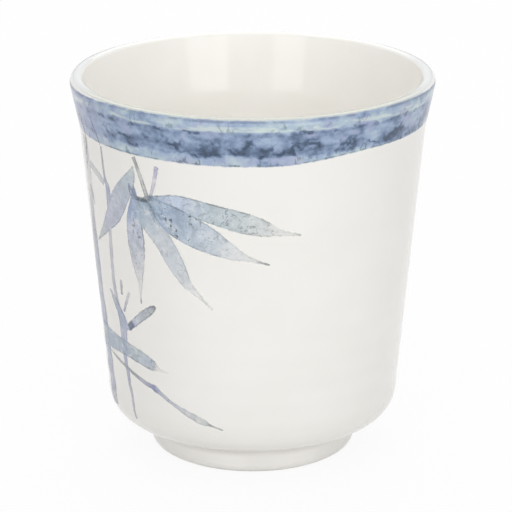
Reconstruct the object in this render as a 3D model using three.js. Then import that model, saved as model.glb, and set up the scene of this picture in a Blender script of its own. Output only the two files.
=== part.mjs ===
// A handleless tea cup: a clay cup on a luted foot ring, glazed white inside and out down to the
// foot's bare standing edge, with a blue wash band round its flared lip and a bamboo painted on
// the wall in single brush strokes.
// Millimetres, +Z up, origin in the middle of the standing face, painted side towards -Y.
import * as THREE from "three";

// Cup
const cupHeight = 85.7; // standing face to the crest of the lip
const mouthRadius = 40; // widest point of the lip
const lipThickness = 2.5;
const lipBend = 1.5; // rounding on the outer side of the lip
const flareHeight = 10.5; // flared top of the wall, which carries the band
const flareFootRadius = 38.1; // wall where the flare starts
const heelRadius = 32; // corner where the lines of the wall and the heel meet
const heelHeight = 9.2;
const heelBend = 6.4; // rounding of that corner
const wallThickness = 3.9; // below the flare
const innerFlareHeight = 14.2; // the flare runs further down on the inside
const innerFlareBend = 20; // soft turn from there to the wall
const floorThickness = 4.6;
const floorBend = 9; // rounding inside, from the wall to the floor

// Foot ring
const footHeight = 6.2; // standing face to the underside of the cup
const footShoulder = 5.75; // standing face to the corner where the ring's side meets the heel
const footRadius = 22.9; // at the table, before its edge is rounded
const footTaper = 0.2; // the ring is this much wider at its top
const footWidth = 4.8;
const footFillet = 1.2; // hollow against the cup, inside the ring and outside it
const footOuterRound = 2.4;
const footInnerRound = 0.8;

// Glaze and paint
const glazeThickness = 0.3;
const glazeStop = 0.6; // the glaze ends this far above the table, on the foot's rounded edge
const bandThickness = 0.15;
const bandDrop = 0.25; // the band stops this far below the crest and leaves a white lip
const strokeThickness = 0.15;
const strokeSeat = 0.1; // clearance between a stroke and the faceted wall
const strokeStep = 0.25; // a stroke that crosses another lies this much further out
const strokeTip = 0.3; // least width of a stroke, at its ends
const culmWidth = 5.5; // brush widths
const leafWidth = 6.3;
const stemWidth = 1.5;

// Facets
const turns = 48; // facets round the cup
const chordError = 0.1; // how far a facet may stray from its arc in the profile
const arcRoom = 0.95; // share of a side that an arc may take up
const strokeLength = 10; // facets along a stroke
const strokeAcross = 3;

const white = new THREE.MeshStandardMaterial({ color: 0xeeece8, roughness: 0.2, metalness: 0 });
const bareClay = new THREE.MeshStandardMaterial({ color: 0xe4ded4, roughness: 0.8, metalness: 0 });
const blueWash = new THREE.MeshStandardMaterial({ color: 0x91a3c0, roughness: 0.25, metalness: 0 });
const leafBlue = new THREE.MeshStandardMaterial({ color: 0xb9c4d5, roughness: 0.25, metalness: 0 });
const stemBlue = new THREE.MeshStandardMaterial({ color: 0x9aa2b8, roughness: 0.25, metalness: 0 });

// Profile points [radius, height, bend] become a line whose bends are arcs
function roundedProfile(corners) {
  return corners.flatMap(([radius, height, bend], i) => {
    const corner = new THREE.Vector2(radius, height);
    if (!bend) return [corner];
    const back = new THREE.Vector2(corners[i - 1][0], corners[i - 1][1]).sub(corner);
    const ahead = new THREE.Vector2(corners[i + 1][0], corners[i + 1][1]).sub(corner);
    const room = arcRoom * Math.min(back.length(), ahead.length());
    const turnSide = -Math.sign(back.cross(ahead));
    back.normalize();
    ahead.normalize();
    const half = Math.acos(back.dot(ahead)) / 2;
    const reach = Math.min(bend / Math.tan(half), room);
    const centre = back.clone().add(ahead).setLength(reach / Math.cos(half)).add(corner);
    const start = back.multiplyScalar(reach).add(corner);
    const turn = Math.PI - 2 * half;
    const steps = Math.ceil(turn / Math.sqrt((8 * chordError) / bend));
    const angles = Array.from({ length: steps + 1 }, (_, k) => (turnSide * turn * k) / steps);
    return angles.map((angle) => start.clone().rotateAround(centre, angle));
  });
}

// The same line moved to its left by a distance, with mitred corners
function movedProfile(points, distance) {
  const leftOf = (from, to) => new THREE.Vector2(from.y - to.y, to.x - from.x).normalize();
  const sides = points.slice(1).map((point, i) => leftOf(points[i], point));
  return points.map((point, i) => {
    const before = sides[Math.max(i - 1, 0)];
    const after = sides[Math.min(i, sides.length - 1)];
    const mitre = before.clone().add(after).multiplyScalar(distance / (1 + before.dot(after)));
    return mitre.add(point);
  });
}

function turned(name, profile, material) {
  const geometry = new THREE.LatheGeometry(profile, turns);
  geometry.rotateX(Math.PI / 2);
  const mesh = new THREE.Mesh(geometry, material);
  mesh.name = name;
  return mesh;
}

const closed = (profile) => [...profile, profile[0]];

// Splits a rising line where it passes a height
function splitAt(points, height) {
  const next = points.findIndex((point) => point.y > height);
  const before = points[next - 1];
  const after = points[next];
  const cut = before.clone().lerp(after, (height - before.y) / (after.y - before.y));
  return [[...points.slice(0, next), cut], [cut, ...points.slice(next)]];
}

// Outline: up the outside from the standing face, over the lip, and down the inside to the floor
const flareFoot = cupHeight - flareHeight;
const innerFlareFoot = cupHeight - innerFlareHeight;
const floorTop = footHeight + floorThickness;
const wallSlope = (flareFootRadius - heelRadius) / (flareFoot - heelHeight);
const wallRadius = (height) => flareFootRadius + wallSlope * (height - flareFoot);
const lipRise = flareHeight - lipBend;
const lipRun = mouthRadius - lipBend - flareFootRadius;
const flareLean = Math.atan2(lipRun, lipRise) + Math.asin(lipBend / Math.hypot(lipRun, lipRise));
const lipCorner = flareFootRadius + flareHeight * Math.tan(flareLean);
const lipInnerBend = lipThickness - lipBend;
const lipInnerRadius = mouthRadius - lipThickness;
const crest = [lipInnerRadius + arcRoom * lipInnerBend, cupHeight];
const outside = roundedProfile([
  [footRadius - 2 * footOuterRound, 0],
  [footRadius, 0, footOuterRound],
  [footRadius + footTaper, footShoulder, footFillet],
  [heelRadius, heelHeight, heelBend],
  [flareFootRadius, flareFoot],
  [lipCorner, cupHeight, lipBend],
  crest,
]).slice(1);
const inside = roundedProfile([
  crest,
  [lipInnerRadius, cupHeight, lipInnerBend],
  [wallRadius(innerFlareFoot) - wallThickness, innerFlareFoot, innerFlareBend],
  [wallRadius(floorTop) - wallThickness, floorTop, floorBend],
  [0, floorTop],
]);
const [bareEdge, glazedOutside] = splitAt(outside, glazeStop);

// Clay under the glaze, parted level with the underside of the cup
const clay = movedProfile([...glazedOutside, ...inside.slice(1)], glazeThickness);
clay.at(-1).setX(0);
const crestIndex = glazedOutside.length - 1;
const clayOutside = clay.slice(0, crestIndex + 1);
const clayInside = clay.slice(crestIndex);
const [footClay, bodyClay] = splitAt(clay, footHeight);

function clayBody() {
  return turned("clay_body", [new THREE.Vector2(0, footHeight), ...bodyClay], bareClay);
}

// Poured glaze inside, from the crest of the lip to the middle of the floor
function linerGlaze() {
  return turned("liner_glaze", [...clayInside.toReversed(), ...inside], white);
}

// Dipped glaze outside, from the foot's standing edge to the crest of the lip
function outerGlaze() {
  return turned("outer_glaze", closed([...glazedOutside, ...clayOutside.toReversed()]), white);
}

// Turned ring luted under the cup, bare inside and on its flat standing edge
function footRing() {
  const innerRadius = footRadius - footWidth;
  const recess = roundedProfile([
    [innerRadius - 2 * footFillet, footHeight],
    [innerRadius, footHeight, footFillet],
    [innerRadius, 0, footInnerRound],
    [innerRadius + 2 * footInnerRound, 0],
  ]).slice(1, -1);
  return turned("foot_ring", closed([...recess, ...bareEdge, ...footClay]), bareClay);
}

// Coat of blue wash on the flare and the outer half of the lip
function rimBand() {
  const start = outside.findIndex((point) => point.y >= flareFoot);
  const end = outside.findIndex((point) => point.y > cupHeight - bandDrop);
  const seat = outside.slice(start, end);
  const face = movedProfile(seat, -bandThickness);
  return turned("rim_band", closed([...face, ...seat.toReversed()]), blueWash);
}

// The painting is drawn flat, x round the wall from the front and y up from the heel's bend, then wrapped
const paintFoot = outside.findLast((point) => point.y < flareFoot).y;
const paintHeight = flareFoot - paintFoot;
const paintRadius = wallRadius(paintFoot + paintHeight / 2);

function wrapped(flat, lift) {
  const height = paintFoot + flat.y;
  const angle = flat.x / paintRadius;
  const radius = wallRadius(height) + lift;
  return [radius * Math.sin(angle), -radius * Math.cos(angle), height];
}

// How a stroke's width runs from its start to its end, as a share of its full width
const leafSwell = 0.7; // below 1 the leaf is widest before its middle
const stemEnds = 0.6; // width of a stem's ends
const culmEnds = 0.2;
const leafShape = (t) => Math.sin(Math.PI * t ** leafSwell);
const stemShape = (t) => stemEnds + (1 - stemEnds) * Math.sin(Math.PI * t);
const culmShape = (t) => culmEnds + (1 - culmEnds) * Math.sin(Math.PI * t);

// One brush stroke: a thin strip along a curve, with its underside on the wall or on the strokes below
function brushStroke(name, route, width, shape, layer, material) {
  const spine = new THREE.SplineCurve(
    route.map(([degrees, up]) => {
      return new THREE.Vector2(THREE.MathUtils.degToRad(degrees) * paintRadius, up * paintHeight);
    }),
  );
  const under = strokeSeat + layer * strokeStep;
  const over = under + strokeThickness;
  const ringSize = 2 * (strokeAcross + 1);
  const positions = [];
  const faces = [];
  for (let i = 0; i <= strokeLength; i++) {
    const t = i / strokeLength;
    const middle = spine.getPointAt(t);
    const along = spine.getTangentAt(t);
    const across = new THREE.Vector2(-along.y, along.x);
    const half = Math.max(strokeTip, width * shape(t)) / 2;
    const flats = Array.from({ length: strokeAcross + 1 }, (_, j) => {
      const side = half * ((2 * j) / strokeAcross - 1);
      return middle.clone().addScaledVector(across, side);
    });
    for (const flat of flats) positions.push(...wrapped(flat, under));
    for (const flat of flats.toReversed()) positions.push(...wrapped(flat, over));
  }
  const quad = (a, b, c, d) => faces.push(a, b, c, a, c, d);
  for (let i = 0; i < strokeLength; i++) {
    for (let j = 0; j < ringSize; j++) {
      const next = (j + 1) % ringSize;
      const here = i * ringSize;
      const ahead = here + ringSize;
      quad(here + j, here + next, ahead + next, ahead + j);
    }
  }
  const end = strokeLength * ringSize;
  for (let j = 0; j < strokeAcross; j++) {
    const top = ringSize - 1 - j;
    quad(j, top, top - 1, j + 1);
    quad(end + j, end + j + 1, end + top - 1, end + top);
  }
  const geometry = new THREE.BufferGeometry();
  geometry.setAttribute("position", new THREE.Float32BufferAttribute(positions, 3));
  geometry.setIndex(faces);
  geometry.computeVertexNormals();
  const mesh = new THREE.Mesh(geometry, material);
  mesh.name = name;
  return mesh;
}

// Route points are [degrees from the front, share of the painted height], and widths are shares of
// the brush widths. Layer 0 lies on the wall, and each later layer crosses over the ones before it.
function bamboo() {
  const painting = new THREE.Group();
  const stem = (name, share, layer, route) => {
    painting.add(brushStroke(name, route, share * stemWidth, stemShape, layer, stemBlue));
  };
  const leaf = (name, share, layer, route) => {
    painting.add(brushStroke(name, route, share * leafWidth, leafShape, layer, leafBlue));
  };
  const culmRoute = [[-69, 0.985], [-73, 0.72], [-74, 0.5], [-72, 0.2], [-68, 0.01]];
  painting.add(brushStroke("main_culm", culmRoute, culmWidth, culmShape, 0, stemBlue));
  const secondRoute = [[-56, 0.985], [-55, 0.84], [-57, 0.54], [-54, 0.32], [-56, 0.21], [-53, 0.01]];
  stem("second_culm", 1, 0, secondRoute);
  stem("side_twig", 0.75, 0, [[-67.5, 0.91], [-58.5, 0.876]]);

  stem("hanging_twig", 0.95, 2, [[-41, 0.985], [-38.5, 0.93], [-36.6, 0.875]]);
  stem("short_twig", 0.75, 1, [[-31.2, 0.97], [-33.8, 0.878]]);
  leaf("upper_leaf_1", 0.9, 1, [[-41.5, 0.957], [-46, 0.86], [-55, 0.728], [-67, 0.622]]);
  leaf("upper_leaf_2", 0.85, 0, [[-42.2, 0.887], [-43.3, 0.7], [-42.8, 0.56], [-43.3, 0.446]]);
  leaf("upper_leaf_3", 0.75, 1, [[-38.5, 0.845], [-31, 0.705], [-24, 0.59], [-13.8, 0.472]]);
  leaf("upper_leaf_4", 1, 2, [[-35.5, 0.852], [-22, 0.77], [-8, 0.7], [5.8, 0.644]]);
  leaf("upper_leaf_5", 0.75, 0, [[-34, 0.866], [-20, 0.85], [-5, 0.8], [16.3, 0.747]]);

  leaf("lower_leaf_1", 0.4, 1, [[-62.7, 0.451], [-57, 0.4], [-52, 0.325]]);
  leaf("lower_leaf_2", 0.5, 0, [[-50.5, 0.348], [-44, 0.4], [-36.9, 0.452]]);
  leaf("lower_leaf_3", 0.65, 1, [[-76, 0.25], [-59, 0.248], [-48, 0.235], [-37.5, 0.2]]);
  stem("lower_twig_1", 0.55, 0, [[-52.7, 0.509], [-53.1, 0.452]]);
  stem("lower_twig_2", 0.65, 0, [[-48.5, 0.469], [-52.6, 0.388]]);
  const branchRoute = [[-68, 0.2], [-57, 0.177], [-47, 0.15], [-39, 0.135], [-28, 0.076], [-11.2, 0.016]];
  stem("low_branch", 1, 2, branchRoute);
  return painting;
}

const cup = new THREE.Group();
cup.add(clayBody(), footRing(), linerGlaze(), outerGlaze(), rimBand(), bamboo());

export default cup;
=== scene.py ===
from math import asin, atan2, cos, hypot, pi, radians, sin, tan

import bmesh
import bpy
import numpy as np
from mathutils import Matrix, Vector


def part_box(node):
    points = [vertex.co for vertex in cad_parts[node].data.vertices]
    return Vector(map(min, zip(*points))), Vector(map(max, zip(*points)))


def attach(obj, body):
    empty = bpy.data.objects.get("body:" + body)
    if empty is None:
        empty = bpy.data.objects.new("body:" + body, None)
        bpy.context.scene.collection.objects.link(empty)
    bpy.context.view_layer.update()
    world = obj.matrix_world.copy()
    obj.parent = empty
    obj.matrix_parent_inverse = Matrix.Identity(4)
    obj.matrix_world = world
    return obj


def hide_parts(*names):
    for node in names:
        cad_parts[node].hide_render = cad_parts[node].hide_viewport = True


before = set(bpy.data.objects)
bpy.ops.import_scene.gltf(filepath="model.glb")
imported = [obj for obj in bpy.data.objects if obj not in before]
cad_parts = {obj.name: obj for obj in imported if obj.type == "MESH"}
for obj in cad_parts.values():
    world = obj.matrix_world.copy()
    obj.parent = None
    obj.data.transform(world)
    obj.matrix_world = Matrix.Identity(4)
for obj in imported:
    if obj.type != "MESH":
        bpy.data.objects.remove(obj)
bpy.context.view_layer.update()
mm = 0.001

# Camera at the photograph's viewing angle: a long lens in front of the painted side, looking down at
# the cup from a little to the right of its axis.
view_pitch = radians(18.2)
view_distance = 613.2 * mm
view_height = 43.28 * mm  # height of the point that it looks at
view_aside = 0.74 * mm
view_lens = 192.6
view_film = 36
bpy.ops.object.select_all(action="DESELECT")
bpy.ops.object.camera_add(
    location=(
        view_aside,
        -view_distance * cos(view_pitch),
        view_height + view_distance * sin(view_pitch),
    ),
    rotation=(pi / 2 - view_pitch, 0, 0),
)
camera = bpy.context.object
camera.data.lens = view_lens
camera.data.sensor_width = view_film
bpy.context.scene.camera = camera
bpy.context.scene.view_settings.view_transform = "Standard"


# Stage: a pale floor and a white surround, with two low softboxes in front and three larger ones above.
# The camera and the gloss see the floor and the surround as white, and the floor keeps a faint shadow.
class Wire:
    """One socket in a node tree. Arithmetic on it adds Math nodes, and node() adds any other node."""

    def __init__(self, socket):
        self.socket = socket
        self.tree = socket.id_data

    def node(self, kind, inputs=None, output=0, stops=None, **settings):
        made = self.tree.nodes.new("ShaderNode" + kind)
        for setting, value in settings.items():
            setattr(made, setting, value)
        if stops:
            elements = made.color_ramp.elements
            for element, (place, colour) in zip(elements, (stops[0], stops[-1])):
                element.position = place
                element.color = colour
            for place, colour in stops[1:-1]:
                elements.new(place).color = colour
        for key, value in (inputs or {}).items():
            if isinstance(value, Wire):
                self.tree.links.new(value.socket, made.inputs[key])
            else:
                made.inputs[key].default_value = value
        return Wire(made.outputs[output])

    def also(self, output):
        """Another output of the same node."""
        return Wire(self.socket.node.outputs[output])

    def feed(self, socket):
        self.tree.links.new(self.socket, socket)

    def maths(self, operation, *values):
        return self.node("Math", dict(enumerate(values)), operation=operation)

    def __add__(self, other):
        return self.maths("ADD", self, other)

    def __sub__(self, other):
        return self.maths("SUBTRACT", self, other)

    def __rsub__(self, other):
        return self.maths("SUBTRACT", other, self)

    def __mul__(self, other):
        return self.maths("MULTIPLY", self, other)

    __radd__ = __add__
    __rmul__ = __mul__

    def __abs__(self):
        return self.maths("ABSOLUTE", self)

    def least(self, other):
        return self.maths("MINIMUM", self, other)

    def most(self, other):
        return self.maths("MAXIMUM", self, other)


def seen_directly(wire):
    """1 for the rays of the camera, of gloss and of glass, and 0 for those that light the object."""
    camera_ray = wire.node("LightPath", output="Is Camera Ray")
    return camera_ray.most(camera_ray.also("Is Glossy Ray")).most(camera_ray.also("Is Transmission Ray"))


plain_white = (1, 1, 1, 1)
surround_light = 0.34
surround = bpy.data.worlds.new("surround")
bpy.context.scene.world = surround
surround.use_nodes = True
surround_shader = surround.node_tree.nodes["Background"]
surround_shader.inputs["Color"].default_value = plain_white
surround_strength = Wire(surround_shader.inputs["Strength"])
seen = seen_directly(surround_strength)
(seen * (1 - surround_light) + surround_light).feed(surround_strength.socket)

floor_size = 6
floor_pale = (0.9, 0.9, 0.9, 1)
floor_glow = 0.92  # share of the floor's look that is plain white
bpy.ops.object.select_all(action="DESELECT")
bpy.ops.mesh.primitive_plane_add(size=floor_size)
floor = bpy.context.object
floor.name = "floor"
floor_paint = bpy.data.materials.new("floor_paint")
floor_paint.use_nodes = True
floor_paint.node_tree.nodes.clear()
floor_end = Wire(floor_paint.node_tree.nodes.new("ShaderNodeOutputMaterial").inputs["Surface"])
floor_face = floor_end.node("BsdfDiffuse", {"Color": floor_pale})
floor_white = floor_end.node("Emission", {"Color": plain_white})
floor_share = seen_directly(floor_end) * floor_glow
floor_end.node("MixShader", {0: floor_share, 1: floor_face, 2: floor_white}).feed(floor_end.socket)
floor.data.materials.append(floor_paint)


def softbox(name, side, lift, distance, width, height, glow):
    """A lamp that faces the cup, so many degrees to the side of the camera and above the floor."""
    turn = radians(side)
    tilt = radians(lift)
    away = Vector((sin(turn) * cos(tilt), -cos(turn) * cos(tilt), sin(tilt)))
    bpy.ops.object.light_add(type="AREA", location=away * distance)
    lamp = bpy.context.object
    lamp.name = name
    lamp.rotation_euler = away.to_track_quat("Z", "Y").to_euler()
    lamp.data.shape = "RECTANGLE"
    lamp.data.size = width
    lamp.data.size_y = height
    lamp.data.energy = glow * pi * width * height
    lamp.visible_camera = False


softbox("left_softbox", side=-27, lift=14, distance=1.2, width=0.46, height=0.56, glow=2.18)
softbox("right_softbox", side=33, lift=14, distance=1.2, width=0.6, height=0.56, glow=2.42)
softbox("front_softbox", side=0, lift=35, distance=1.2, width=1.2, height=0.6, glow=0.8)
softbox("back_softbox", side=180, lift=45, distance=1.2, width=1.2, height=0.6, glow=1.8)
softbox("top_softbox", side=0, lift=88, distance=1.1, width=1.2, height=1.2, glow=1.38)


# Clay body: the thrown cup under the glaze, an off-white clay that shows only inside the foot ring.
# It is turned from one outline, drawn as a chain of lines and arcs and spun round the axis.
cup_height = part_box("outer_glaze")[1].z
mouth_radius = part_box("outer_glaze")[1].x
flare_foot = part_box("rim_band")[0].z
foot_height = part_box("foot_ring")[1].z
glaze_depth = 0.3 * mm
lip_thickness = 2.5 * mm
lip_bend = 1.5 * mm
lip_inner_bend = lip_thickness - lip_bend
flare_foot_radius = 38.1 * mm
heel_radius = 32 * mm
heel_height = 9.2 * mm
heel_bend = 6.4 * mm
wall_thickness = 3.9 * mm
inner_flare_drop = 14.2 * mm
inner_flare_foot = cup_height - inner_flare_drop
inner_flare_bend = 20 * mm
floor_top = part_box("liner_glaze")[0].z + glaze_depth
floor_bend = 9 * mm
foot_top_radius = 23.4 * mm
wall_slope = (flare_foot_radius - heel_radius) / (flare_foot - heel_height)
lip_run = mouth_radius - lip_bend - flare_foot_radius
lip_rise = cup_height - lip_bend - flare_foot
flare_lean = atan2(lip_run, lip_rise) + asin(lip_bend / hypot(lip_run, lip_rise))
lip_corner = flare_foot_radius + (cup_height - flare_foot) * tan(flare_lean)
crest_radius = mouth_radius - lip_bend
arc_step = radians(6)
least_arc_steps = 3
turn_steps = 256
weld_gap = 1e-3 * mm
hair = 0.01 * mm  # play in tests of height
crisp_angle = radians(35)  # edges that are sharper than this stay crisp


def inner_radius(height):
    return flare_foot_radius + wall_slope * (height - flare_foot) - wall_thickness


heel_corner = (heel_radius, heel_height, heel_bend)
flare_corner = (flare_foot_radius, flare_foot)
lip_outer_corner = (lip_corner, cup_height, lip_bend)
lip_crest = (crest_radius, cup_height)
inside_corners = [
    (mouth_radius - lip_thickness, cup_height, lip_inner_bend),
    (inner_radius(inner_flare_foot), inner_flare_foot, inner_flare_bend),
    (inner_radius(floor_top), floor_top, floor_bend),
    (0, floor_top),
]


def draw_outline(name, corners):
    """Draws corners (radius, height, bend) as one chain of vertices and stays in edit mode."""
    bpy.ops.object.select_all(action="DESELECT")
    bpy.ops.mesh.primitive_plane_add(size=mm)
    piece = bpy.context.object
    piece.name = name
    piece.data.name = name
    bpy.ops.object.mode_set(mode="EDIT")
    bpy.ops.mesh.merge(type="CENTER")
    spots = [Vector((corner[0], 0, corner[1])) for corner in corners]
    bends = [corner[2] if len(corner) > 2 else 0 for corner in corners]
    bpy.ops.transform.translate(value=spots[0])
    pen = spots[0]
    for i in range(1, len(spots)):
        target = spots[i]
        if not bends[i]:
            bpy.ops.mesh.extrude_vertices_move(TRANSFORM_OT_translate={"value": target - pen})
            pen = target
            continue
        come = (target - spots[i - 1]).normalized()
        leave = (spots[i + 1] - target).normalized()
        turn = atan2(come.x * leave.z - come.z * leave.x, come.dot(leave))
        reach = bends[i] * tan(abs(turn) / 2)
        start = target - come * reach
        inward = Vector((-come.z, 0, come.x)) * (bends[i] if turn > 0 else -bends[i])
        if (start - pen).length > weld_gap:
            bpy.ops.mesh.extrude_vertices_move(TRANSFORM_OT_translate={"value": start - pen})
        steps = max(least_arc_steps, int(abs(turn) / arc_step) + 1)
        bpy.ops.mesh.spin(steps=steps, angle=turn, center=start + inward, axis=(0, 1, 0))
        pen = target + leave * reach
    return piece


def pick(piece, wanted):
    """Selects the vertices whose place passes a test, in edit mode."""
    mesh = bmesh.from_edit_mesh(piece.data)
    for vertex in mesh.verts:
        vertex.select = wanted(vertex.co)
    mesh.select_flush_mode()
    bmesh.update_edit_mesh(piece.data)


def turn_round():
    """Spins the outline once round the axis, and closes the seam and the poles."""
    bpy.ops.mesh.select_all(action="SELECT")
    bpy.ops.mesh.spin(steps=turn_steps, angle=2 * pi, center=(0, 0, 0), axis=(0, 0, 1))
    bpy.ops.mesh.select_all(action="SELECT")
    bpy.ops.mesh.remove_doubles(threshold=weld_gap)
    bpy.ops.mesh.normals_make_consistent(inside=False)


def thicken(piece, thickness, side):
    """Gives an open skin its thickness, on its outer side for 1 and its inner side for -1."""
    bpy.ops.object.mode_set(mode="OBJECT")
    wall = piece.modifiers.new("thickness", "SOLIDIFY")
    wall.thickness = thickness
    wall.offset = side
    bpy.ops.object.modifier_apply(modifier=wall.name)


def finish_piece(piece, material, slot, *nodes):
    """Smooths a piece and gives it its finish and its place in the frame."""
    bpy.ops.object.mode_set(mode="OBJECT")
    bpy.ops.object.shade_smooth_by_angle(angle=crisp_angle)
    piece.data.materials.clear()
    piece.data.materials.append(material)
    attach(piece, "root")
    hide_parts(*nodes)


def tint(red, green, blue, alpha=1.0):
    """Linear colour of one that is written as sRGB from 0 to 255."""
    shares = [channel / 255 for channel in (red, green, blue)]
    linear = [s / 12.92 if s <= 0.04045 else ((s + 0.055) / 1.055) ** 2.4 for s in shares]
    return (*linear, alpha)


def new_paint(name):
    """A material with one Principled shader, a wire on its base colour, and places in millimetres."""
    material = bpy.data.materials.new(name)
    material.use_nodes = True
    shader = material.node_tree.nodes["Principled BSDF"]
    base = Wire(shader.inputs["Base Color"])
    coordinates = base.node("TexCoord", output="Object")
    spot = base.node("VectorMath", {0: coordinates, "Scale": 1 / mm}, operation="SCALE")
    return material, shader, base, spot


def squeezed(spot, share):
    """Places with their heights multiplied by a share: patterns on them are flatter above 1."""
    return spot.node("VectorMath", {0: spot, 1: (1, 1, share)}, operation="MULTIPLY")


def mixed(share, first, second):
    """Two colours mixed by a share from 0 to 1."""
    wire = next(value for value in (share, first, second) if isinstance(value, Wire))
    return wire.node("Mix", {0: share, 6: first, 7: second}, output=2, data_type="RGBA")


def cloud(spot, size, detail=2.0, roughness=0.5, warp=0.0):
    """Noise from 0 to 1 whose lumps are about that many millimetres across."""
    inputs = {
        "Vector": spot,
        "Scale": 1 / size,
        "Detail": detail,
        "Roughness": roughness,
        "Distortion": warp,
    }
    return spot.node("TexNoise", inputs)


def rise(value, low, high):
    """0 below low, 1 above high and smooth between."""
    inputs = {0: value, 1: low, 2: high, 3: 0.0, 4: 1.0}
    return value.node("MapRange", inputs, interpolation_type="SMOOTHSTEP")


def patchy(spot, size, low, high, **look):
    """Soft patches: 1 where the noise of that size is above high, and 0 where it is below low."""
    return rise(cloud(spot, size, **look), low, high)


def bumped(shader, height, depth):
    """Shades the surface as if it stood out by that depth where the height is 1."""
    bump = height.node("Bump", {"Height": height, "Strength": 1.0, "Distance": depth})
    bump.feed(shader.inputs["Normal"])


clay_light = tint(228, 221, 210)
clay_dark = tint(215, 206, 192)
grit_brown = tint(178, 163, 142)
clay_dullness = 0.75
clay_grain = 0.03 * mm
clay_ring_pitch = 1.3  # in millimetres


def clay_paint():
    """Fired clay with fine grit, and the fine rings that turning leaves in the recess of the foot."""
    material, shader, base, spot = new_paint("bare_clay")
    radius = base.node("VectorMath", {0: squeezed(spot, 0)}, output="Value", operation="LENGTH")
    ring = base.maths("SINE", (radius + 0.6 * cloud(spot, 4.0)) * (2 * pi / clay_ring_pitch))
    shade = mixed(cloud(spot, 6.0, detail=3.0), clay_light, clay_dark)
    grit = patchy(spot, 0.5, 0.66, 0.74, detail=1.0)
    mixed(0.5 * grit, shade, grit_brown).feed(base.socket)
    bumped(shader, cloud(spot, 0.35, detail=4.0) + 0.25 * ring, clay_grain)
    shader.inputs["Roughness"].default_value = clay_dullness
    return material


bare_clay = clay_paint()
clay_body = draw_outline(
    "thrown_clay",
    [
        (0, foot_height),
        (foot_top_radius, foot_height),
        heel_corner,
        flare_corner,
        lip_outer_corner,
        lip_crest,
        *inside_corners,
    ],
)
turn_round()
pick(clay_body, lambda spot: spot.z > foot_height + hair)
bpy.ops.transform.shrink_fatten(value=-glaze_depth)
finish_piece(clay_body, bare_clay, "bare_clay", "clay_body")


# Foot ring: a turned ring of the same clay luted under the cup, bare on its standing edge and inside.
# Above the glaze line its side stands back by the depth of the glaze that covers it.
foot_radius = 22.9 * mm
foot_inner = 18.1 * mm
foot_fillet = 1.2 * mm
foot_outer_round = 2.4 * mm
foot_inner_round = 0.8 * mm
foot_middle = (foot_inner + foot_radius) / 2
glaze_stop = 0.6 * mm
foot_ring = draw_outline(
    "turned_foot",
    [
        (foot_inner - foot_fillet, foot_height),
        (foot_inner, foot_height, foot_fillet),
        (foot_inner, 0, foot_inner_round),
        (foot_radius, 0, foot_outer_round),
        (foot_radius, foot_height),
        (foot_inner - foot_fillet, foot_height),
    ],
)
bpy.ops.mesh.select_all(action="SELECT")
bpy.ops.mesh.remove_doubles(threshold=weld_gap)
bpy.ops.mesh.bisect(plane_co=(0, 0, glaze_stop), plane_no=(0, 0, 1))
pick(foot_ring, lambda spot: spot.z > glaze_stop + hair and spot.x > foot_middle)
bpy.ops.transform.translate(value=(-glaze_depth, 0, 0))
turn_round()
finish_piece(foot_ring, bare_clay, "bare_clay", "foot_ring")


# Outer glaze: a warm white glaze dipped over the outside, from the foot's standing edge to the crest of
# the lip. Faint rings from the turning of the clay show through it on the lower wall.
foot_taper = 0.2 * mm
foot_shoulder = 5.75 * mm
crease_round = 2.2 * mm  # the glaze pools in the crease, so it turns wider here than the clay
heel_bend_rise = 3.9 * mm
wall_foot = heel_height + heel_bend_rise
wall_cuts = 89
ring_pitch = 5.73 * mm
ring_start = 1.5 * mm
ring_depth = 0.1 * mm
ring_top = 52 * mm  # the rings fade out below this
glaze_skin = 0.28 * mm
glaze_ripple = 0.012 * mm
glaze_dullness = 0.13
painted_shade_span = 20  # millimetres above the floor in which the painted light and shade of the white change
cloud_white = tint(238, 236, 231)
# painted shade that darkens the crest of the lip, grey at the front and bluish at the sides
crest_shade_front = tint(198, 201, 191)
crest_shade_side = tint(200, 207, 214)
crest_shade_turn = (-22, -8)  # places from front to back, in millimetres, between which the painted shade on the crest turns bluer
crest_shade_fade = (5, 36)  # and between which the painted shade on the crest fades out
crest_shade_side_loss = 0.55


def by_height(height, span, stops):
    """A ramp over that many millimetres of height, with stops (height, colour)."""
    shares = [(place / span, colour) for place, colour in stops]
    return height.node("ValToRGB", {0: height * (1 / span)}, stops=shares)


def shaded_lip_crest(spot, white):
    """Lays painted shade on the crest of the lip: grey at the front, bluer at the sides, and gone at the
    back.
    """
    back = spot.node("SeparateXYZ", {0: spot}, output="Y")
    crest = rise(back.also("Z"), cup_height / mm - 0.5, cup_height / mm - 0.15)
    aside = rise(back, *crest_shade_turn)
    share = crest * (1 - crest_shade_side_loss * aside) * (1 - rise(back, *crest_shade_fade))
    return mixed(share, white, mixed(aside, crest_shade_front, crest_shade_side))


def glaze_white_with_painted_shade(spot):
    """Warm white with painted light and shade by height: lighter on the foot, a painted shade in the
    crease above it and darker towards the bottom of the wall, with soft clouds.
    """
    white = by_height(
        spot.node("SeparateXYZ", {0: spot}, output="Z"),
        painted_shade_span,
        [
            # painted light on the foot, painted shade in the crease, and a lower wall painted darker
            # than the upper
            (4.0, tint(252, 250, 246)),
            (5.4, tint(231, 228, 222)),
            (7.6, tint(229, 226, 220)),
            (11.0, tint(236, 234, 229)),
            (18.0, tint(242, 240, 236)),
        ],
    )
    return shaded_lip_crest(spot, mixed(0.5 * patchy(spot, 14.0, 0.3, 0.7), white, cloud_white))


def glaze_coat(shader, spot, dullness=glaze_dullness):
    """Gloss and the very shallow ripple of a dipped glaze."""
    bumped(shader, cloud(spot, 5.0, detail=1.0), glaze_ripple)
    (dullness + 0.08 * cloud(spot, 3.0)).feed(shader.inputs["Roughness"])


def white_glaze_paint():
    material, shader, base, spot = new_paint("white_glaze")
    glaze_white_with_painted_shade(spot).feed(base.socket)
    glaze_coat(shader, spot)
    return material


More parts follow.
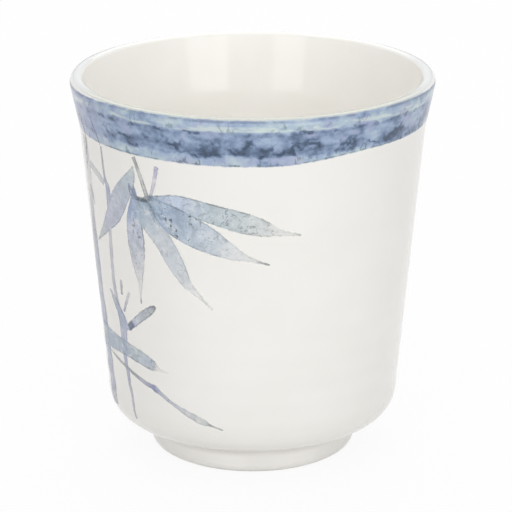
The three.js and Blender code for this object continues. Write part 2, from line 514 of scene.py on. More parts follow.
white_glaze = white_glaze_paint()
outer_glaze = draw_outline(
    "dipped_glaze",
    [
        (foot_radius - 2 * foot_outer_round, 0),
        (foot_radius, 0, foot_outer_round),
        (foot_radius + foot_taper, foot_shoulder, crease_round),
        heel_corner,
        flare_corner,
        lip_outer_corner,
        lip_crest,
    ],
)
bpy.ops.mesh.select_all(action="SELECT")
bpy.ops.mesh.bisect(plane_co=(0, 0, glaze_stop), plane_no=(0, 0, 1), clear_inner=True)
pick(outer_glaze, lambda spot: wall_foot < spot.z < flare_foot + hair)
bpy.ops.mesh.subdivide(number_cuts=wall_cuts)
outline = bmesh.from_edit_mesh(outer_glaze.data)
for vertex in outline.verts:
    fade = max(0, 1 - vertex.co.z / ring_top) if wall_foot < vertex.co.z < flare_foot else 0
    vertex.co.x += ring_depth * fade * sin(2 * pi * (vertex.co.z - ring_start) / ring_pitch)
wall_outline = sorted((vertex.co.z, vertex.co.x) for vertex in outline.verts)
bmesh.update_edit_mesh(outer_glaze.data)
turn_round()
thicken(outer_glaze, glaze_skin, -1)
finish_piece(outer_glaze, white_glaze, "white_glaze", "outer_glaze")


# Liner glaze: a glaze poured inside, from the crest of the lip down the wall to the floor, painted
# whiter than the outside as painted light that brightens the inside. It is smoother than the outside and
# gleams less, so the front softboxes show in it as two pale strips.
# whiter than the outer glaze: painted light that brightens the inside
liner_lifted_white = tint(253, 251, 247)
liner_lifted_cream = tint(251, 249, 244)
liner_dullness = 0.05
liner_gleam = 0.3


def liner_glaze_paint():
    material, shader, base, spot = new_paint("liner_glaze")
    white = mixed(patchy(spot, 12.0, 0.3, 0.7), liner_lifted_white, liner_lifted_cream)
    shaded_lip_crest(spot, white).feed(base.socket)
    glaze_coat(shader, spot, liner_dullness)
    shader.inputs["Specular IOR Level"].default_value = liner_gleam
    return material


liner_glaze = draw_outline("poured_glaze", [lip_crest, *inside_corners])
turn_round()
thicken(liner_glaze, glaze_skin, -1)
finish_piece(liner_glaze, liner_glaze_paint(), "white_glaze", "liner_glaze")


# Rim band: a blue wash painted over the flare and the outer half of the lip, under the gloss. It is pale
# along both edges and dark and clouded between, with short runs and broken lines along its edges.
band_drop = 0.25 * mm  # the film stops this far below the crest of the lip
band_spare = 0.2 * mm  # clear film below the painted edge
film_seat = 0.03 * mm
film_skin = 0.03 * mm
edge_lift = 1.6  # the lower edge climbs this many millimetres to the right
edge_climb = (4, 26)  # between these places from left to right
top_dip = 0.65  # the upper edge falls this many millimetres towards the sides and the back
top_fall = (-29, -4)  # between these places from front to back
top_skew = 0.08
band_span = 10  # millimetres from the foot of the flare in which the wash changes
lavender = tint(166, 168, 200)
# thin wash on the lip's rounding, partly a painted highlight
pale_green_wash_and_highlight = tint(214, 226, 219)
pool_blue = tint(66, 84, 110)
run_grey = tint(90, 106, 122)
foot_line_grey = tint(104, 118, 124)
top_strip_blue = tint(120, 134, 164)
top_line_blue = tint(96, 110, 130)


def grey(value):
    return (value, value, value, 1)


def near(value, middle, core, reach):
    """1 within core of a middle value, and 0 beyond reach."""
    return 1 - rise(abs(value - middle), core, reach)


def wander(spot, size, amount, **look):
    """Noise around 0, for edges and heights that aren't even."""
    return amount * (cloud(spot, size, **look) - 0.5)


def layered(colour, layers):
    """A colour with others laid over it in turn, each by its share."""
    for share, over in layers:
        colour = mixed(share, colour, over)
    return colour


def band_heights(spot):
    """Millimetres above the foot of the flare, under the dipping upper edge and over the lower edge."""
    across = spot.node("SeparateXYZ", {0: spot})
    height = across.also("Z") - flare_foot / mm
    dip = top_dip * rise(across.also("Y") - top_skew * across, *top_fall)
    over_edge = height - edge_lift * rise(across, *edge_climb)
    return height + dip * rise(height, 1.0, 7.0), over_edge


def band_depth(level):
    """How deep the wash lies by height: a pale strip, the dark pool, a lighter blue and the pale lip,
    where the wash is thin and a painted highlight lies along its rounding.
    """
    return by_height(
        level,
        band_span,
        [
            (0.5, grey(0.27)),
            (1.6, grey(0.3)),
            (2.5, grey(0.72)),
            (4.2, grey(0.67)),
            (5.3, grey(0.5)),
            (6.4, grey(0.5)),
            (7.2, grey(0.57)),
            (8.0, grey(0.3)),
            (9.0, grey(0.3)),
            (10.0, grey(0.38)),
        ],
    )


def band_blue(tone):
    """The colour of the wash, from its palest to where it lies deepest."""
    return tone.node(
        "ValToRGB",
        {0: tone},
        stops=[
            (0.0, tint(206, 220, 222)),
            (0.2, tint(180, 197, 208)),
            (0.4, tint(157, 176, 202)),
            (0.55, tint(137, 156, 186)),
            (0.7, tint(108, 128, 158)),
            (0.85, tint(80, 98, 126)),
            (1.0, tint(60, 76, 98)),
        ],
    )


def band_seams(spot, flat):
    """Soft dark seams between light patches a few millimetres across."""
    bend = spot.node("TexNoise", {"Vector": spot, "Scale": 0.4, "Detail": 3.0}, output="Color")
    bend = spot.node("VectorMath", {0: bend, 1: (0.5, 0.5, 0.5)}, operation="SUBTRACT")
    bend = spot.node("VectorMath", {0: bend, "Scale": 5.0}, operation="SCALE")
    bent = spot.node("VectorMath", {0: flat, 1: bend}, operation="ADD")
    inputs = {"Vector": bent, "Scale": 0.2}
    gap = spot.node("TexVoronoi", inputs, output="Distance", feature="DISTANCE_TO_EDGE")
    return (1 - rise(gap, 0.0, 0.18)) * patchy(spot, 3.2, 0.38, 0.62, detail=3.0)


def lavender_share(spot, tone):
    """Patches of the paler wash that turn to lavender, and the far left of the band."""
    across = spot.node("SeparateXYZ", {0: spot})
    patches = patchy(spot, 6.0, 0.52, 0.66, detail=3.0, warp=0.5) * (1 - rise(tone, 0.45, 0.7))
    return 0.5 * patches.most(rise(-1 * across, 28.0, 38.0))


def pool_share(spot, flat, height, pools, seams):
    """Where the paint has pooled: beads high on the band, blots low on it, and its darkest seams."""
    blots = cloud(flat, 1.6, detail=3.0, roughness=0.6)
    high = near(height + wander(spot, 3.0, 1.2), 7.3, 0.2, 0.7) * patchy(spot, 3.4, 0.45, 0.62)
    low = near(height + wander(spot, 4.0, 1.5), 3.4, 0.7, 1.7) * rise(pools, 0.46, 0.6)
    dark = (0.85 * high * rise(blots, 0.42, 0.54)).most(0.48 * low * rise(blots, 0.48, 0.62))
    return dark.most(0.5 * seams * rise(blots, 0.46, 0.64))


def run_share(spot, height, over_edge):
    """Short upright runs of paint along the lower edge, and fainter ones along the upper."""
    runs = near(cloud(squeezed(spot, 0.35), 2.2), 0.5, 0.01, 0.05) * patchy(spot, 2.4, 0.48, 0.6)
    return 0.7 * runs * near(over_edge, 0.8, 0.7, 1.2).most(0.6 * near(height, 8.7, 0.8, 1.5))


def band_paint():
    """The wash by height with its patches, pools and edge lines, and white glaze beyond its edges."""
    material, shader, base, spot = new_paint("blue_wash")
    height, over_edge = band_heights(spot)
    flat = squeezed(spot, 1.4)
    level = height + wander(flat, 5.0, 2.4, detail=3.0)
    zone = near(level, 3.6, 1.0, 3.0)
    seams = band_seams(spot, flat)
    pools = cloud(flat, 7.0)
    patches = wander(flat, 2.2, 0.9, detail=4.0, roughness=0.6)
    tone = band_depth(level) + (pools - 0.5) + patches + 0.35 * zone * (seams - 0.2)
    # pale strip along the lip's rounding: thin wash, with a painted highlight along it
    lip_wash_and_highlight = near(height, 8.4, 0.4, 0.9) * patchy(squeezed(spot, 5), 7.0, 0.48, 0.6)
    foot_line = near(over_edge, 0.2, 0.06, 0.26) * patchy(spot, 2.2, 0.42, 0.62)
    top_strip = rise(height, 9.2, 9.8) * patchy(spot, 4.0, 0.34, 0.6)
    top_line = near(height, 10.0, 0.12, 0.34) * patchy(spot, 2.6, 0.4, 0.56)
    wash = layered(
        band_blue(tone),
        [
            (lavender_share(spot, tone), lavender),
            (0.6 * lip_wash_and_highlight, pale_green_wash_and_highlight),
            (pool_share(spot, flat, height, pools, zone * seams), pool_blue),
            (run_share(spot, height, over_edge), run_grey),
            (0.7 * foot_line, foot_line_grey),
            (0.2 * top_strip, top_strip_blue),
            (0.45 * top_line, top_line_blue),
        ],
    )
    painted = rise(over_edge + wander(spot, 1.2, 0.5), -0.2, 0.15)
    painted = painted * (1 - rise(height + wander(spot, 1.6, 0.3), 10.15, 10.4))
    mixed(painted, glaze_white_with_painted_shade(spot), wash).feed(base.socket)
    glaze_coat(shader, spot)
    return material


rim_band = draw_outline(
    "band_wash",
    [
        (flare_foot_radius - wall_slope * band_spare, flare_foot - band_spare),
        flare_corner,
        lip_outer_corner,
        lip_crest,
    ],
)
bpy.ops.mesh.select_all(action="SELECT")
bpy.ops.mesh.bisect(plane_co=(0, 0, cup_height - band_drop), plane_no=(0, 0, 1), clear_outer=True)
turn_round()
bpy.ops.transform.shrink_fatten(value=film_seat)
thicken(rim_band, film_skin, 1)
finish_piece(rim_band, band_paint(), "blue_wash", "rim_band")


# Bamboo culms: brush strokes fused into the wall's glaze, each with its own wash, outlines and specks.
# The thick stem stands at the left with a thin one beside it, joined by a twig near the top. Two dashes
# lie on the thick one, and the higher dash and the tip of the thin one run up over the band.
film_step = 0.05 * mm  # a stroke that crosses another lies this much further out
stroke_spare = 0.14 * mm  # clear film beyond the painted edge
least_width = 0.2 * mm
cells_across = 6
cell_length = 0.7 * mm
least_cells = 8
points_per_dab = 24
faded_white = tint(236, 236, 234)
wall_heights, wall_radii = np.array(wall_outline).T


def smooth_route(dabs):
    """Fine points of an even curve through the dabs: distance round the wall, height and width."""
    marks = np.array(dabs) * (radians(1), mm, mm)
    middle = np.interp(marks[:, 1].mean(), wall_heights, wall_radii)
    marks[:, 0] *= middle
    ends = np.vstack([2 * marks[0] - marks[1], marks, 2 * marks[-1] - marks[-2]])
    fine = []
    for i in range(1, len(ends) - 2):
        before, here, there, after = ends[i - 1 : i + 3]
        for t in np.linspace(0, 1, points_per_dab, endpoint=False):
            fine.append(
                here
                + 0.5 * t * (there - before)
                + t**2 * (before - 2.5 * here + 2 * there - 0.5 * after)
                + 0.5 * t**3 * (3 * (here - there) + after - before)
            )
    return np.array([*fine, marks[-1]]), middle


def brush_stroke(name, layer, dabs, material, slot, *nodes):
    """Lays a strip of film on the wall through dabs of the brush, each (degrees from the front, height,
    width), with maps of its length and of the distance to its painted edges."""
    fine, middle = smooth_route(dabs)
    run = np.concatenate([[0], np.cumsum(np.hypot(*np.diff(fine[:, :2], axis=0).T))])
    cells_along = max(least_cells, int(run[-1] / cell_length))
    places = np.linspace(0, run[-1], cells_along + 1)
    route = np.column_stack([np.interp(places, run, column) for column in fine.T])
    heading = np.gradient(route[:, :2], axis=0)
    heading /= np.hypot(*heading.T)[:, None]
    bpy.ops.object.select_all(action="DESELECT")
    bpy.ops.mesh.primitive_grid_add(x_subdivisions=cells_across, y_subdivisions=cells_along, size=2)
    stroke = bpy.context.object
    stroke.name = name
    mesh = stroke.data
    mesh.name = name
    mesh.uv_layers[0].name = "stroke"
    edges = np.zeros((len(mesh.vertices), 2))
    for vertex in mesh.vertices:
        row = round((vertex.co.y + 1) / 2 * cells_along)
        half = max(route[row, 2], least_width) / 2
        side = vertex.co.x * (half + stroke_spare)
        around = route[row, 0] + side * heading[row, 1]
        height = route[row, 1] - side * heading[row, 0]
        radius = np.interp(height, wall_heights, wall_radii) + film_seat + layer * film_step
        edges[vertex.index] = (half - side, half + side)
        vertex.co = (radius * sin(around / middle), -radius * cos(around / middle), height)
    edge_map = mesh.uv_layers.new(name="edges")
    for corner in mesh.loops:
        edge_map.data[corner.index].uv = edges[corner.vertex_index] / mm
    thicken(stroke, film_skin, 1)
    stroke.visible_shadow = False  # a clear film leaves the glaze under it lit
    stroke.visible_diffuse = False
    finish_piece(stroke, material, slot, *nodes)


def brush_paint(name, wash, marks, line, mottle=0.5, vein=0.3):
    """A wash with stops (place along, colour, strength), and marks (place along, left outline, right
    outline, specks) in the colour of its line."""
    material, shader, base, spot = new_paint(name)
    line = tint(*line)
    along = base.node("SeparateXYZ", {0: base.node("UVMap", uv_map="stroke")}, output="Y")
    left = base.node("SeparateXYZ", {0: base.node("UVMap", uv_map="edges")}, output="X")
    right = left.also("Y")
    waver = wander(spot, 0.9, 0.4, detail=3.0)
    inside = left.least(right) + waver
    blots = cloud(spot, 2.4, detail=5.0, roughness=0.62, warp=0.5)
    stops = [(place, tint(*colour, strength)) for place, colour, strength in wash]
    colour = base.node("ValToRGB", {0: along + 0.12 * (blots - 0.5)}, stops=stops)
    strength = colour.also("Alpha")
    amounts = base.node("ValToRGB", {0: along}, stops=[(mark[0], (*mark[1:], 1)) for mark in marks])
    left_amount = base.node("SeparateColor", {0: amounts}, output="Red")
    right_amount = left_amount.also("Green")
    speck_amount = left_amount.also("Blue")
    paler = mixed(0.6, colour, faded_white)
    deeper = mixed(0.4, colour, line)
    rim = (1 - rise(inside, 0.15, 0.7)) * patchy(spot, 2.6, 0.36, 0.62)
    grain = patchy(spot, 0.55, 0.55, 0.72)
    veins = near(cloud(spot, 2.2, detail=3.0, warp=0.4), 0.5, 0.006, 0.035)
    veins = veins * patchy(spot, 2.0, 0.46, 0.62)
    left_line = near(left + waver, 0.2, 0.05, 0.24) * left_amount
    right_line = near(right + waver, 0.2, 0.05, 0.24) * right_amount
    lines = 0.9 * left_line.most(right_line) * patchy(spot, 2.0, 0.36, 0.6)
    specks = patchy(spot, 0.8, 0.58, 0.66, detail=1.0) * patchy(spot, 2.4, 0.48, 0.58)
    layers = [
        (mottle * rise(blots, 0.5, 0.66), paler),
        (mottle * (1 - rise(blots, 0.34, 0.5)), deeper),
        (0.4 * rim, deeper),
        (0.5 * grain, deeper),
        (vein * veins, line),
        (lines, line),
        (specks * speck_amount, line),
    ]
    layered(colour, layers).feed(base.socket)
    # a look through the film crosses its two faces, so each takes the root of what shows through
    cover = rise(inside, -0.12, 0.26) * strength.most(lines)
    (1 - base.maths("SQRT", 1 - cover)).feed(shader.inputs["Alpha"])
    glaze_coat(shader, spot)
    return material


def painted_stroke(name, layer, slot, dabs, **paint):
    """A brush stroke in its own paint, in place of the CAD node with its name if there is one."""
    material = brush_paint(name + "_paint", **paint)
    nodes = [name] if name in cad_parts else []
    brush_stroke(name + "_stroke", layer, dabs, material, slot, *nodes)


painted_stroke(
    "main_culm",
    layer=0,
    slot="stem_paint",
    dabs=[
        (-73, 74.5, 3.6),
        (-73, 66, 4.4),
        (-74, 58.5, 3.6),
        (-74.4, 54, 3.8),
        (-75.8, 45.3, 5.6),
        (-75.9, 39, 5.2),
        (-74.4, 33, 5.4),
        (-73.4, 22, 5.2),
        (-72.6, 17, 5),
        (-71.6, 12, 4.4),
    ],
    wash=[
        (0.0, (190, 192, 198), 0.6),
        (0.18, (202, 204, 211), 0.5),
        (0.28, (176, 179, 192), 0.85),
        (0.38, (144, 150, 169), 1),
        (0.48, (136, 148, 170), 1),
        (0.56, (140, 147, 168), 1),
        (0.64, (150, 153, 180), 1),
        (0.7, (140, 151, 180), 1),
        (0.8, (138, 150, 172), 1),
        (0.9, (156, 158, 180), 1),
        (1.0, (176, 178, 192), 0.9),
    ],
    marks=[(0.0, 0, 0.3, 0), (0.2, 0, 0.3, 0), (0.35, 0.2, 0.3, 0), (1.0, 0.3, 0.4, 0.1)],
    line=(110, 112, 132),
)

culm_dash_paint = brush_paint(
    "culm_dash_paint",
    wash=[(0.0, (134, 136, 144), 0.9), (0.6, (140, 140, 150), 1), (1.0, (160, 160, 172), 0.7)],
    marks=[(0.0, 0.2, 0.2, 0), (1.0, 0.2, 0.2, 0)],
    line=(96, 98, 108),
)
high_dash_dabs = [
    (-73, 80.5, 0.3),
    (-72.1, 77.9, 0.5),
    (-71.4, 75.5, 0.6),
    (-71.6, 72.5, 0.8),
    (-72.9, 68.9, 0.6),
    (-73.6, 67, 0.4),
]
low_dash_dabs = [(-72.2, 63.4, 0.4), (-70.4, 61.8, 0.8), (-69, 59.4, 0.4)]
brush_stroke("high_dash_stroke", 1, high_dash_dabs, culm_dash_paint, "stem_paint")
brush_stroke("low_dash_stroke", 1, low_dash_dabs, culm_dash_paint, "stem_paint")

painted_stroke(
    "second_culm",
    layer=0,
    slot="stem_paint",
    dabs=[
        (-58.3, 74.5, 0.7),
        (-57.9, 68, 0.9),
        (-56.4, 64.5, 1.8),
        (-57.9, 55.6, 1.4),
        (-59, 45, 1.5),
        (-57.9, 38.8, 1.6),
        (-55.4, 33.5, 3),
        (-56, 26, 1.6),
        (-54.9, 21, 1.4),
        (-52.6, 11.9, 0.7),
    ],
    wash=[
        (0.0, (168, 169, 178), 0.9),
        (0.1, (166, 168, 184), 1),
        (0.17, (180, 187, 208), 1),
        (0.3, (204, 204, 210), 0.9),
        (0.45, (200, 201, 208), 0.9),
        (0.54, (186, 189, 202), 1),
        (0.61, (164, 169, 188), 1),
        (0.68, (186, 191, 208), 1),
        (0.78, (174, 178, 198), 1),
        (0.9, (182, 182, 198), 0.9),
        (1.0, (190, 190, 198), 0.8),
    ],
    marks=[(0.0, 0.1, 0.1, 0), (0.3, 0.2, 0.1, 0), (0.6, 0.2, 0.4, 0), (1.0, 0.2, 0.4, 0)],
    line=(118, 118, 150),
    mottle=0.3,
)

painted_stroke(
    "culm_tip",
    layer=1,
    slot="stem_paint",
    dabs=[(-62.5, 80.9, 0.4), (-61, 78.6, 1.0), (-59.4, 76.2, 0.8), (-58.7, 74.6, 0.4)],
    wash=[(0.0, (128, 134, 170), 0.3), (0.5, (118, 124, 162), 0.55), (1.0, (130, 134, 160), 0.5)],
    marks=[(0.0, 0.1, 0.1, 0), (1.0, 0.2, 0.2, 0)],
    line=(100, 104, 134),
)

painted_stroke(
    "side_twig",
    layer=0,
    slot="stem_paint",
    dabs=[(-69.5, 68.8, 1.8), (-63.4, 67.6, 1.9), (-58.5, 66.2, 1.6)],
    wash=[(0.0, (208, 208, 210), 0.8), (0.7, (208, 210, 211), 0.8), (1.0, (188, 190, 202), 0.9)],
    marks=[(0.0, 0, 0.2, 0), (1.0, 0.1, 0.2, 0)],
    line=(140, 146, 152),
)


# Upper spray: two twigs under the band that meet in a dark blot, with five leaves fanned out below it.
# The leaves are loaded with blue at the blot, pale further out and outlined to their fine tips. The blot
# and the shaded fold between two of the leaves lie over the rest.
painted_stroke(
    "hanging_twig",
    layer=2,
    slot="stem_paint",
    dabs=[(-41.1, 74.7, 1), (-39, 71, 1.2), (-36.4, 65.9, 1.2)],
    wash=[
        (0.0, (160, 165, 172), 1),
        (0.4, (208, 208, 206), 1),
        (0.85, (196, 198, 196), 1),
        (1.0, (120, 130, 138), 1),
    ],
    marks=[(0.0, 0.8, 0.9, 0), (1.0, 0.9, 1.0, 0.2)],
    line=(104, 108, 112),
    vein=0.1,
)

painted_stroke(
    "short_twig",
    layer=1,
    slot="stem_paint",
    dabs=[(-31.9, 73.5, 1.1), (-33.3, 70, 1.1), (-35.3, 66, 0.8)],
    wash=[
        (0.0, (180, 177, 202), 0.9),
        (0.3, (190, 188, 207), 1),
        (0.45, (212, 211, 219), 0.9),
        (0.8, (208, 208, 216), 0.9),
        (1.0, (150, 158, 170), 1),
    ],
    marks=[(0.0, 0.3, 0.2, 0), (0.6, 0.3, 0.2, 0), (1.0, 0.3, 0.3, 0)],
    line=(126, 128, 142),
    vein=0.1,
)

painted_stroke(
    "upper_leaf_1",
    layer=1,
    slot="leaf_paint",
    dabs=[
        (-41.6, 72.6, 0.4),
        (-43.8, 69.3, 3.2),
        (-49, 64.8, 5),
        (-54, 60.2, 5),
        (-61, 55.6, 2.6),
        (-68.9, 51.4, 0.4),
    ],
    wash=[
        (0.0, (196, 206, 204), 0.9),
        (0.12, (192, 202, 210), 1),
        (0.4, (188, 194, 208), 1),
        (0.65, (192, 195, 211), 1),
        (0.8, (196, 202, 208), 0.9),
        (0.92, (196, 202, 202), 0.8),
        (1.0, (130, 142, 144), 0.9),
    ],
    marks=[
        (0.0, 0.3, 0.4, 0),
        (0.3, 0.3, 0.4, 0.4),
        (0.6, 0.3, 0.3, 0.3),
        (0.85, 0.5, 0.6, 0.1),
        (1.0, 0.9, 0.9, 0),
    ],
    line=(122, 130, 140),
    mottle=0.6,
)

painted_stroke(
    "upper_leaf_2",
    layer=0,
    slot="leaf_paint",
    dabs=[
        (-42.2, 68.2, 0.4),
        (-42.4, 64.2, 2.8),
        (-43.3, 60, 4.6),
        (-43.3, 55, 5.2),
        (-43.1, 50, 3.8),
        (-42.9, 45, 1.3),
        (-43.3, 40.8, 0.3),
    ],
    wash=[
        (0.0, (126, 140, 170), 1),
        (0.1, (148, 162, 194), 1),
        (0.24, (158, 174, 202), 1),
        (0.32, (186, 194, 212), 1),
        (0.55, (200, 204, 213), 1),
        (0.7, (206, 208, 214), 0.9),
        (0.85, (224, 224, 226), 0.55),
        (0.94, (214, 214, 222), 0.55),
        (0.97, (140, 140, 180), 1),
        (1.0, (104, 104, 142), 1),
    ],
    marks=[
        (0.0, 0.3, 0.3, 0),
        (0.3, 0.3, 0.8, 0.5),
        (0.5, 0.3, 1, 0.9),
        (0.7, 0.3, 0.6, 0.3),
        (0.9, 0.4, 0.5, 0),
        (1.0, 0.5, 0.6, 0),
    ],
    line=(108, 116, 130),
    mottle=0.6,
)

painted_stroke(
    "upper_leaf_3",
    layer=1,
    slot="leaf_paint",
    dabs=[
        (-37.9, 65.7, 2),
        (-38, 63.8, 5),
        (-36.6, 61.2, 5.8),
        (-31.2, 56.8, 4.8),
        (-27.3, 52.6, 4.5),
        (-22.9, 47.8, 2.6),
        (-18.7, 45.3, 1.1),
        (-13.8, 42.4, 0.3),
    ],
    wash=[
        (0.0, (140, 158, 180), 1),
        (0.1, (172, 188, 204), 1),
        (0.28, (202, 208, 214), 1),
        (0.55, (206, 211, 218), 1),
        (0.7, (212, 216, 220), 0.95),
        (0.82, (224, 226, 226), 0.65),
        (1.0, (218, 221, 220), 0.6),
    ],
    marks=[
        (0.0, 0.4, 0.5, 0.2),
        (0.3, 0.4, 0.5, 0.5),
        (0.5, 0.3, 0.3, 0.2),
        (0.65, 0.4, 0.7, 0),
        (0.85, 0.5, 0.6, 0),
        (1.0, 0.6, 0.6, 0),
    ],
    line=(134, 144, 146),
    mottle=0.6,
    vein=0.4,
)

painted_stroke(
    "upper_leaf_4",
    layer=2,
    slot="leaf_paint",
    dabs=[
        (-36, 66.3, 1.2),
        (-33, 64.6, 3.9),
        (-30.2, 63.2, 5.6),
        (-25.2, 61.4, 6.9),
        (-16, 58.8, 6.4),
        (-6.9, 55.9, 3.6),
        (-1.1, 54.5, 1.3),
        (5.8, 53.1, 0.4),
    ],
    wash=[
        (0.0, (126, 142, 160), 0.8),
        (0.06, (158, 176, 196), 0.9),
        (0.14, (170, 187, 209), 1),
        (0.22, (168, 182, 203), 1),
        (0.31, (170, 184, 200), 1),
        (0.4, (187, 199, 213), 1),
        (0.6, (202, 209, 216), 1),
        (0.78, (219, 221, 222), 0.85),
        (0.89, (216, 218, 216), 0.65),
        (0.95, (150, 156, 156), 1),
        (1.0, (126, 132, 132), 1),
    ],
    marks=[
        (0.0, 0.6, 0.4, 0.6),
        (0.12, 0.9, 0.5, 0.7),
        (0.24, 0.8, 0.6, 1),
        (0.4, 0.6, 0.6, 1),
        (0.55, 0.4, 0.4, 0.5),
        (0.75, 0.3, 0.4, 0),
        (1.0, 0.8, 0.8, 0),
    ],
    line=(98, 110, 120),
    mottle=0.6,
    vein=0.45,
)

painted_stroke(
    "upper_leaf_5",
    layer=0,
    slot="leaf_paint",
    dabs=[
        (-35.6, 66.2, 0.9),
        (-26.9, 66.2, 3.1),
        (-20.1, 65.4, 4.2),
        (-10, 63.8, 4.7),
        (-3, 62.6, 4.9),
        (3.5, 61.4, 3.9),
        (9, 60.3, 1.7),
        (16.3, 59.5, 0.4),
    ],
    wash=[
        (0.0, (158, 174, 196), 0.9),
        (0.12, (190, 202, 222), 1),
        (0.22, (198, 209, 228), 1),
        (0.3, (186, 198, 212), 1),
        (0.42, (190, 202, 209), 1),
        (0.58, (199, 208, 212), 1),
        (0.75, (210, 214, 215), 0.95),
        (0.87, (224, 225, 222), 0.7),
        (0.95, (206, 208, 204), 0.6),
        (1.0, (150, 156, 152), 0.8),
    ],
    marks=[
        (0.0, 0.2, 0.8, 0),
        (0.2, 0.3, 1, 0),
        (0.42, 0.5, 1, 0.5),
        (0.6, 0.4, 0.8, 0.3),
        (0.78, 0.4, 0.5, 0.5),
        (1.0, 0.6, 0.6, 0),
    ],
    line=(104, 114, 116),
    mottle=0.6,
    vein=0.6,
)

painted_stroke(
    "leaf_hub",
    layer=3,
    slot="stem_paint",
    dabs=[
        (-44.2, 68.4, 0.6),
        (-43.6, 67, 1.3),
        (-42.2, 65.6, 1.4),
        (-40.2, 65.4, 1.1),
        (-38.4, 65.4, 1.1),
        (-36.6, 65.8, 1.5),
        (-35, 66.2, 1.3),
        (-33.8, 66.3, 0.6),
    ],
    wash=[
        (0.0, (130, 142, 178), 0.6),
        (0.2, (112, 124, 154), 1),
        (0.36, (142, 157, 176), 0.8),
        (0.5, (96, 112, 122), 1),
        (0.78, (82, 98, 114), 1),
        (1.0, (138, 154, 172), 0.7),
    ],
    marks=[(0.0, 0.1, 0.1, 0), (0.4, 0.1, 0.1, 0.6), (0.7, 0.2, 0.2, 1), (1.0, 0.2, 0.2, 0.3)],
    line=(64, 78, 88),
    mottle=0.7,
)

painted_stroke(
    "leaf_fold",
    layer=3,
    slot="stem_paint",
    dabs=[(-36.4, 65.2, 0.6), (-34.7, 63, 1.2), (-33.8, 61.4, 1.1), (-31.8, 60.2, 0.5)],
    wash=[(0.0, (118, 134, 150), 0.6), (0.5, (128, 144, 160), 0.6), (1.0, (146, 162, 182), 0.4)],
    marks=[(0.0, 0.1, 0.1, 0.3), (0.6, 0.1, 0.1, 0.8), (1.0, 0.1, 0.1, 0.2)],
    line=(90, 106, 118),
    mottle=0.8,
)


# Lower spray: short strokes where the thin culm meets the leaf that crosses both culms, and the low
# branch that runs down to the right from there in a string of blue and grey dabs.
painted_stroke(
    "lower_leaf_1",
    layer=1,
    slot="leaf_paint",
    dabs=[(-62.7, 41.1, 0.6), (-58.7, 38.4, 2), (-55, 35.8, 2.2), (-51.9, 33.3, 1.2)],
    wash=[
        (0.0, (196, 202, 200), 0.8),
        (0.3, (176, 183, 194), 1),
        (0.6, (166, 176, 200), 1),
        (1.0, (186, 194, 214), 0.9),
    ],
    marks=[(0.0, 0.6, 0.4, 0), (0.3, 0.5, 0.8, 0), (0.75, 0.4, 0.9, 0), (1.0, 0.2, 0.3, 0)],
    line=(108, 116, 138),
)

painted_stroke(
    "lower_leaf_2",
    layer=0,
    slot="leaf_paint",
    dabs=[
        (-52.2, 33.6, 0.9),
        (-51.4, 34, 1.8),
        (-50.2, 34.6, 1.8),
        (-47.6, 35.8, 1.9),
        (-42.9, 38.1, 2.1),
        (-38.9, 39.9, 1.9),
        (-36.6, 41, 0.7),
    ],
    wash=[
        (0.0, (96, 106, 126), 1),
        (0.2, (106, 117, 140), 1),
        (0.26, (178, 185, 204), 1),
        (0.42, (198, 202, 213), 1),
        (0.6, (180, 186, 193), 1),
        (0.85, (188, 192, 197), 1),
        (1.0, (140, 146, 150), 1),
    ],
    marks=[(0.0, 0.6, 0.6, 0), (0.3, 0.5, 0.6, 0.2), (0.7, 0.9, 1, 0.9), (1.0, 1, 1, 0.8)],
    line=(92, 102, 110),
    mottle=0.4,
)

painted_stroke(
    "lower_leaf_3",
    layer=1,
    slot="leaf_paint",
    dabs=[
        (-76.4, 28.4, 5.6),
        (-66, 28.6, 4.6),
        (-54.5, 28.5, 3.7),
        (-45, 27.6, 3.4),
        (-39.6, 26.7, 2.7),
        (-37.6, 26.3, 1.3),
        (-32.7, 25.7, 0.4),
    ],
    wash=[
        (0.0, (150, 164, 178), 0.9),
        (0.2, (160, 175, 192), 0.9),
        (0.4, (168, 180, 198), 0.85),
        (0.5, (164, 176, 196), 0.9),
        (0.6, (186, 197, 202), 1),
        (0.75, (190, 197, 208), 1),
        (0.84, (180, 186, 196), 1),
        (0.88, (214, 214, 212), 0.5),
        (1.0, (220, 219, 216), 0.3),
    ],
    marks=[
        (0.0, 0.2, 0.3, 0),
        (0.45, 0.6, 0.3, 0.2),
        (0.7, 0.8, 0.2, 0.4),
        (0.86, 1, 0.6, 1),
        (0.89, 0.2, 0.2, 0),
        (1.0, 0.1, 0.1, 0),
    ],
    line=(108, 118, 132),
    mottle=0.7,
)

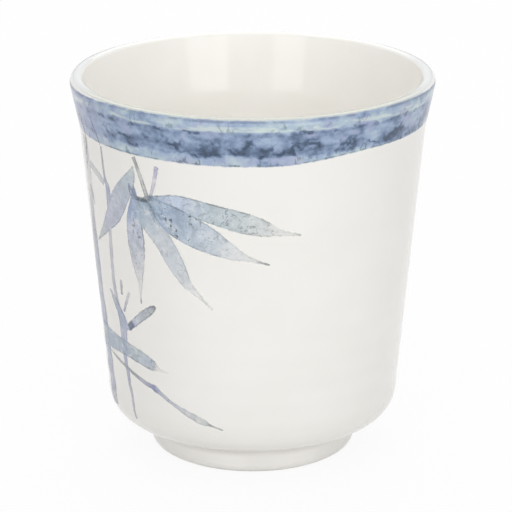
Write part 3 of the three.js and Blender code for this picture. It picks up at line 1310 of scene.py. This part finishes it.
painted_stroke(
    "lower_twig_1",
    layer=0,
    slot="stem_paint",
    dabs=[(-53.8, 44.7, 0.8), (-53.8, 43, 1), (-54.2, 41.2, 0.8)],
    wash=[(0.0, (196, 196, 202), 0.8), (0.4, (168, 168, 178), 1), (1.0, (172, 172, 182), 0.8)],
    marks=[(0.0, 0.1, 0.2, 0), (1.0, 0.1, 0.2, 0)],
    line=(128, 128, 152),
)

painted_stroke(
    "lower_twig_2",
    layer=0,
    slot="stem_paint",
    dabs=[(-49.3, 42.5, 1), (-51.6, 39.9, 1), (-53.6, 37.4, 0.7)],
    wash=[
        (0.0, (216, 216, 216), 0.7),
        (0.5, (196, 196, 202), 0.9),
        (0.75, (188, 190, 198), 0.9),
        (1.0, (146, 154, 172), 1),
    ],
    marks=[(0.0, 0.1, 0.1, 0), (1.0, 0.2, 0.2, 0)],
    line=(128, 128, 152),
)

painted_stroke(
    "low_branch",
    layer=2,
    slot="stem_paint",
    dabs=[
        (-68.3, 25.6, 0.5),
        (-57.1, 24.1, 0.9),
        (-49, 22.7, 1),
        (-44, 21.9, 1.2),
        (-41, 21.6, 1.2),
        (-39.4, 21.3, 1.7),
        (-37, 20.6, 1.1),
        (-31, 18.6, 1),
        (-27, 17.5, 1.4),
        (-22, 16.2, 1.7),
        (-18, 15.4, 1.5),
        (-16.5, 15.1, 0.6),
        (-11.2, 14.1, 0.3),
    ],
    wash=[
        (0.0, (166, 168, 172), 0.9),
        (0.14, (164, 168, 174), 0.9),
        (0.3, (166, 172, 174), 0.95),
        (0.4, (190, 189, 208), 1),
        (0.48, (140, 144, 182), 1),
        (0.54, (168, 175, 190), 1),
        (0.61, (186, 192, 207), 1),
        (0.7, (206, 209, 213), 0.95),
        (0.8, (208, 210, 211), 0.95),
        (0.88, (204, 207, 207), 0.95),
        (0.92, (158, 162, 164), 1),
        (1.0, (186, 188, 188), 0.9),
    ],
    marks=[(0.0, 0.3, 0.3, 0), (0.3, 0.6, 0.5, 0.7), (0.55, 0.6, 0.4, 0.6), (1.0, 0.5, 0.5, 0)],
    line=(112, 118, 132),
    mottle=0.6,
    vein=0.15,
)
